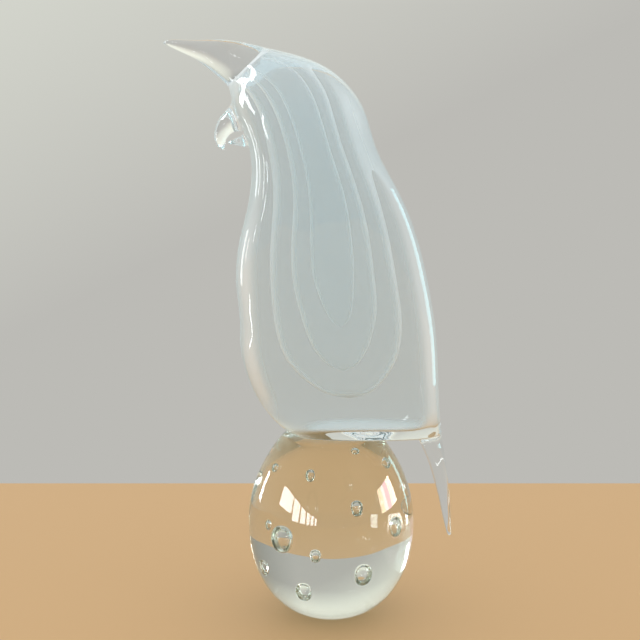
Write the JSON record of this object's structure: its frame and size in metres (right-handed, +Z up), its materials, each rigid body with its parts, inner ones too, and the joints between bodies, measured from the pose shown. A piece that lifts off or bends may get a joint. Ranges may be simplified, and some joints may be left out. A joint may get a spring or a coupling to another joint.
{
  "type": "glass bird figurine",
  "caption": "Crested bird figurine of clear glass over nested milky gathers, standing upright on a solid glass ball with trapped air bubbles.",
  "frame": {"origin": "centre of the flat ground under the ball, on the surface it stands on", "axes": "+Z up, -X the way the bird looks, Y across the bird"},
  "size_m": [0.1701, 0.0998, 0.3403],
  "materials": {
    "ball_glass": "fire polished",
    "clear_glass": "fire polished",
    "milky_glass": "cased, slightly cloudy"
  },
  "bodies": {
    "root": {"ball_casing": "ball_glass", "ball_core": "ball_glass", "join_pad": "ball_glass", "bird_casing": "clear_glass", "outer_milky_gather": "milky_glass", "middle_milky_gather": "milky_glass", "inner_milky_gather": "milky_glass", "core_gather": "milky_glass", "crest": "clear_glass", "upper_beak": "clear_glass", "lower_beak": "clear_glass", "tail": "clear_glass"}
  },
  "joints": []
}
